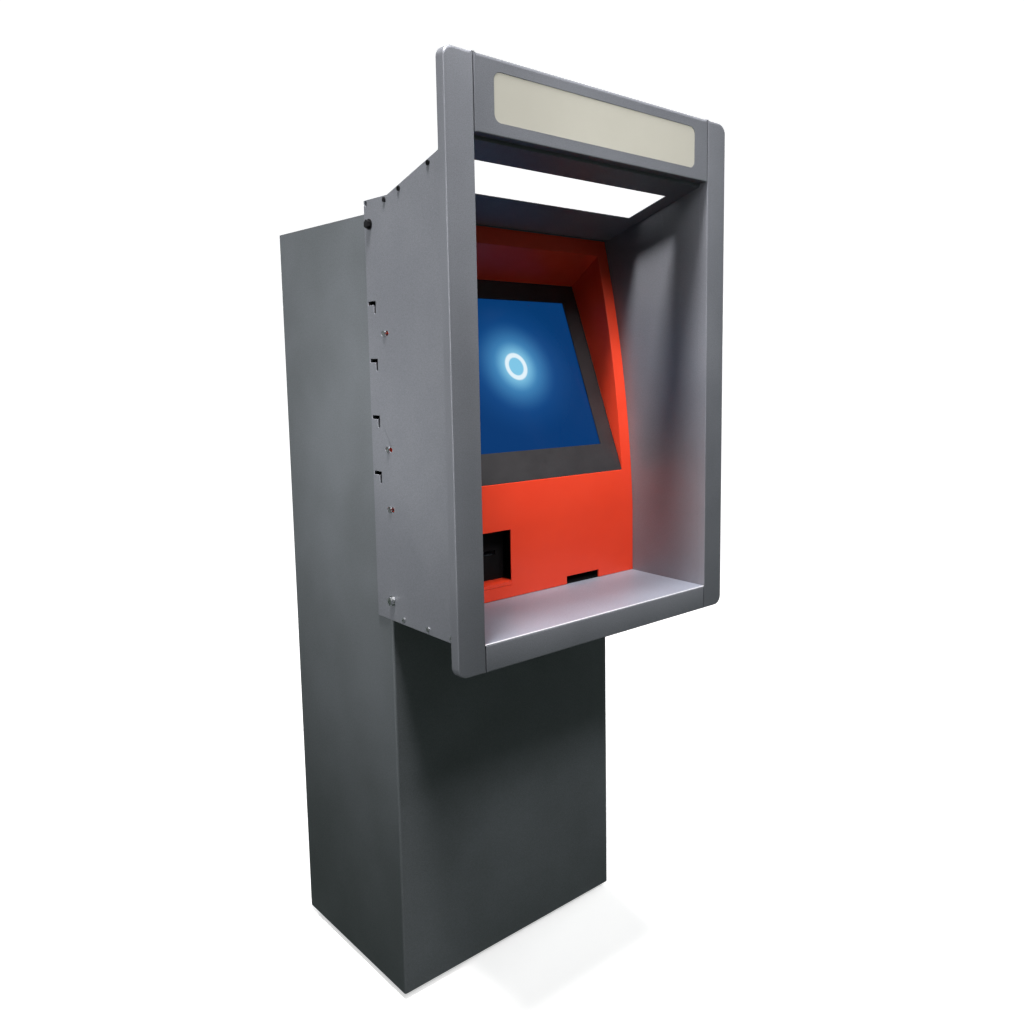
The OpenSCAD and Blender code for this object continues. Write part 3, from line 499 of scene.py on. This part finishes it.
# ---------- display ----------

TILT = math.radians(21.7)
display_low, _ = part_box("touch_frame")
PICTURE_W, PICTURE_H = 376 * MM, 301 * MM
PICTURE_UP = 58 * MM  # the picture's lower edge above lip, along the slope
PICTURE_GAP = 0.094 * MM  # left free at each side
PICTURE_T = 0.15 * MM
FACE_BACK = 2.3 * MM  # the picture's face behind the frame's
FRAME_FACE = 0.1 * MM
FRAME_EDGE = 1.6 * MM
TOUCH_T = 10 * MM
MARK_X, MARK_Z = 218, 165  # middle of the glow and the ring, in millimetres on the picture

# lip is the lower edge of the screen's recess, from which places on the screen are measured:
# the touch frame starts FRAME_EDGE up the slope from it and FRAME_FACE behind it.
lip = Vector((0, display_low.y, display_low.z))
lip.y -= FRAME_FACE * math.cos(TILT) + FRAME_EDGE * math.sin(TILT)
lip.z += TOUCH_T * math.sin(TILT) - FRAME_EDGE * math.cos(TILT)
slope_up = Vector((0, math.sin(TILT), math.cos(TILT)))
inward = Vector((0, math.cos(TILT), -math.sin(TILT)))


def on_screen(x, back, up):
    """A point on the reclined screen: across, behind its face, and up its slope."""
    return lip + Vector((x, 0, 0)) + inward * back + slope_up * up


def screen_picture():
    """The lit picture: a deep blue ground with a soft pale glow and a plain round mark."""
    g = Graph("screen_picture")
    uv = g.add("ShaderNodeUVMap", uv_map="picture").outputs["UV"]
    parts = g.add("ShaderNodeSeparateXYZ")
    g.link(uv, parts.inputs["Vector"])

    def glow(wide, tall, soft):
        """1 at the mark's middle, falling to 0 at the edge of an ellipse of these radii;
        the fall starts at the share soft of them."""
        shift = g.add("ShaderNodeMapping", vector_type="POINT")
        shift.inputs["Location"].default_value = (-MARK_X / wide, -MARK_Z / tall, 0)
        shift.inputs["Scale"].default_value = (1 / wide, 1 / tall, 0)
        g.link(uv, shift.inputs["Vector"])
        length = g.add("ShaderNodeVectorMath", operation="LENGTH")
        g.link(shift.outputs["Vector"], length.inputs[0])
        return g.steps(length.outputs["Value"], soft, 1, 1, 0, "SMOOTHSTEP")

    ground = g.steps(parts.outputs["Y"], 0, PICTURE_H / MM, 0, 1)
    colour = g.mix(ground, rgb(6, 54, 109), rgb(8, 58, 112))
    for wide, tall, soft, tone in (
        (160, 150, 0.0, rgb(26, 84, 150)),
        (96, 96, 0.0, rgb(84, 160, 208)),
        (52, 54, 0.2, rgb(138, 204, 232)),
        (27, 29, 0.86, rgb(226, 242, 250)),
        (18, 19.5, 0.84, rgb(128, 198, 230)),
    ):
        colour = g.mix(glow(wide, tall, soft), colour, tone)
    g.link(colour, g.shader.inputs["Emission Color"])
    g.link(g.mix(0.93, colour, (0.0, 0.0, 0.0, 1)), g.shader.inputs["Base Color"])
    g.link(g.steps(g.noise(60.0), 0.3, 0.7, 0.10, 0.16), g.shader.inputs["Roughness"])
    g.set(Emission_Strength=0.95, Specular_IOR_Level=0.12)
    return g.material


def display_face():
    """The display's face as one shallow slab with a picture map in millimetres."""
    nx, nz = 24, 20
    width = PICTURE_W - 2 * PICTURE_GAP
    points, faces = [], []
    for k in range(nz + 1):
        for i in range(nx + 1):
            x = width * (i / nx - 0.5)
            points.append(on_screen(x, FACE_BACK, PICTURE_UP + PICTURE_H * k / nz))
    for k in range(nz):
        for i in range(nx):
            a = k * (nx + 1) + i
            faces.append((a, a + 1, a + nx + 2, a + nx + 1))
    rim = (
        list(range(nx + 1))
        + [k * (nx + 1) + nx for k in range(1, nz + 1)]
        + [nz * (nx + 1) + i for i in range(nx - 1, -1, -1)]
        + [k * (nx + 1) for k in range(nz - 1, 0, -1)]
    )
    start = len(points)
    points += [points[i] + inward * PICTURE_T for i in rim]
    m = len(rim)
    for i in range(m):
        j = (i + 1) % m
        faces.append((rim[i], start + i, start + j, rim[j]))
    faces.append(tuple(start + i for i in range(m)))
    obj = piece("display_picture", points, faces, screen_picture())
    obj.visible_diffuse = False
    layer = obj.data.uv_layers.new(name="picture")
    for loop in obj.data.loops:
        p = obj.data.vertices[loop.vertex_index].co
        up = (p - lip).dot(slope_up) - PICTURE_UP
        layer.data[loop.index].uv = ((p.x + PICTURE_W / 2) / MM, up / MM)


display_face()

# ---------- stage ----------


def backdrop():
    """A pale round floor that curves up into a wall all round the machine. It glows, least
    under the machine and evenly from shade_to outwards; the weaker glow near the machine is
    painted shade."""
    reach, r, rise, turns, bend_steps = 7.5, 2.5, 9.0, 96, 12
    shade_from, shade_to = 0.4, 2.4
    glow_near, glow_far = 0.58, 0.92
    line = [(0.6, 0.0), (1.2, 0.0), (2.5, 0.0), (reach - r, 0.0)]
    for k in range(1, bend_steps + 1):
        a = math.radians(90 * k / bend_steps)
        line.append((reach - r + r * math.sin(a), r - r * math.cos(a)))
    line.append((reach, rise))
    points, faces = [(0, 0, 0)], []
    for d, z in line:
        for k in range(turns):
            a = 2 * math.pi * k / turns
            points.append((d * math.cos(a), d * math.sin(a), z))
    for k in range(turns):
        j = (k + 1) % turns
        faces.append((0, 1 + k, 1 + j))
        for i in range(len(line) - 1):
            inner, outer = 1 + i * turns, 1 + (i + 1) * turns
            faces.append((inner + k, outer + k, outer + j, inner + j))
    mesh = bpy.data.meshes.new("backdrop")
    mesh.from_pydata(points, [], faces)
    mesh.shade_smooth()
    g = Graph("backdrop")
    g.link(
        g.mix(g.noise(3.0, 3.0), (0.86, 0.86, 0.855, 1), (0.84, 0.84, 0.84, 1)),
        g.shader.inputs["Base Color"],
    )
    far = g.add("ShaderNodeVectorMath", operation="LENGTH")
    g.link(g.place(), far.inputs[0])
    g.link(
        g.steps(far.outputs["Value"], shade_from, shade_to, glow_near, glow_far),
        g.shader.inputs["Emission Strength"],
    )
    g.set(Roughness=0.9, Specular_IOR_Level=0.1)
    g.shader.inputs["Emission Color"].default_value = (1.0, 1.0, 1.0, 1)
    mesh.materials.append(g.material)
    obj = bpy.data.objects.new("backdrop", mesh)
    obj.visible_diffuse = False
    obj.visible_glossy = False
    obj.visible_shadow = False
    scene.collection.objects.link(obj)


backdrop()


def add_light(data, place, target):
    obj = bpy.data.objects.new(data.name, data)
    obj.location = place
    aim = Vector(target) - Vector(place)
    obj.rotation_mode = "QUATERNION"
    obj.rotation_quaternion = aim.to_track_quat("-Z", "Y")
    scene.collection.objects.link(obj)


def area_light(name, place, target, power, size, colour):
    data = bpy.data.lights.new(name, "AREA")
    data.shape = "DISK"
    data.size = size
    data.energy = power
    data.color = colour
    add_light(data, place, target)


def spot_light(name, place, target, power, half_angle, gloss=1.0, radius=0.5):
    """half_angle is in degrees; gloss is the lamp's share of highlights."""
    data = bpy.data.lights.new(name, "SPOT")
    data.energy = power
    data.specular_factor = gloss
    data.spot_size = math.radians(2 * half_angle)
    data.spot_blend = 1.0
    data.shadow_soft_size = radius
    add_light(data, place, target)


area_light("ceiling_lamp", (-0.62, -0.52, 3.2), (0.0, -0.15, 1.0), 96, 0.42, (1.0, 0.985, 0.97))
spot_light("front_lamp", (-0.12, -1.85, 2.85), (0.08, -0.33, 1.28), 240, 19, 0.3, radius=0.45)
spot_light("side_lamp", (-3.0, -0.25, 1.35), (-0.25, 0.0, 1.07), 410, 13, 0.06)
spot_light("right_lamp", (3.0, 0.5, 1.35), (0.25, 0.05, 0.9), 260, 18)
spot_light("rear_lamp", (0.9, 3.6, 1.7), (0.0, 0.33, 0.75), 420, 20, 0.3)


def studio_world():
    """Soft light that is darkest from below and brightest from above."""
    world = bpy.data.worlds.new("studio")
    world.use_nodes = True
    tree = world.node_tree
    direction = tree.nodes.new("ShaderNodeTexCoord")
    split = tree.nodes.new("ShaderNodeSeparateXYZ")
    height = tree.nodes.new("ShaderNodeMapRange")
    height.inputs["From Min"].default_value = -1
    ramp = tree.nodes.new("ShaderNodeValToRGB")
    tree.links.new(direction.outputs["Generated"], split.inputs["Vector"])
    tree.links.new(split.outputs["Z"], height.inputs["Value"])
    tree.links.new(height.outputs["Result"], ramp.inputs["Fac"])
    low, high = ramp.color_ramp.elements
    low.position, low.color = 0.3, (0.028, 0.05, 0.032, 1)
    high.position, high.color = 0.95, (0.45, 0.45, 0.45, 1)
    middle = ramp.color_ramp.elements.new(0.55)
    middle.color = (0.18, 0.205, 0.2, 1)
    background = tree.nodes["Background"]
    tree.links.new(ramp.outputs["Color"], background.inputs["Color"])
    background.inputs["Strength"].default_value = 0.75
    scene.world = world


studio_world()

# ---------- camera ----------

CAMERA_AT = Vector((-0.9978, -1.381, 1.1434))
YAW, PITCH, ROLL = math.radians(44.35), math.radians(-6.87), math.radians(-0.18)
LENS_MM, SENSOR_MM = 30.9375, 36.0
SHIFT_X, SHIFT_Y = -0.10546875, -0.041015625

camera_data = bpy.data.cameras.new("camera")
camera_data.sensor_width = SENSOR_MM
camera_data.lens = LENS_MM
camera_data.shift_x = SHIFT_X
camera_data.shift_y = SHIFT_Y
camera_data.clip_end = 100
camera = bpy.data.objects.new("camera", camera_data)
camera.matrix_world = (
    Matrix.Translation(CAMERA_AT)
    @ Matrix.Rotation(-YAW, 4, "Z")
    @ Matrix.Rotation(math.radians(90) + PITCH, 4, "X")
    @ Matrix.Rotation(ROLL, 4, "Z")
)
scene.collection.objects.link(camera)
scene.camera = camera
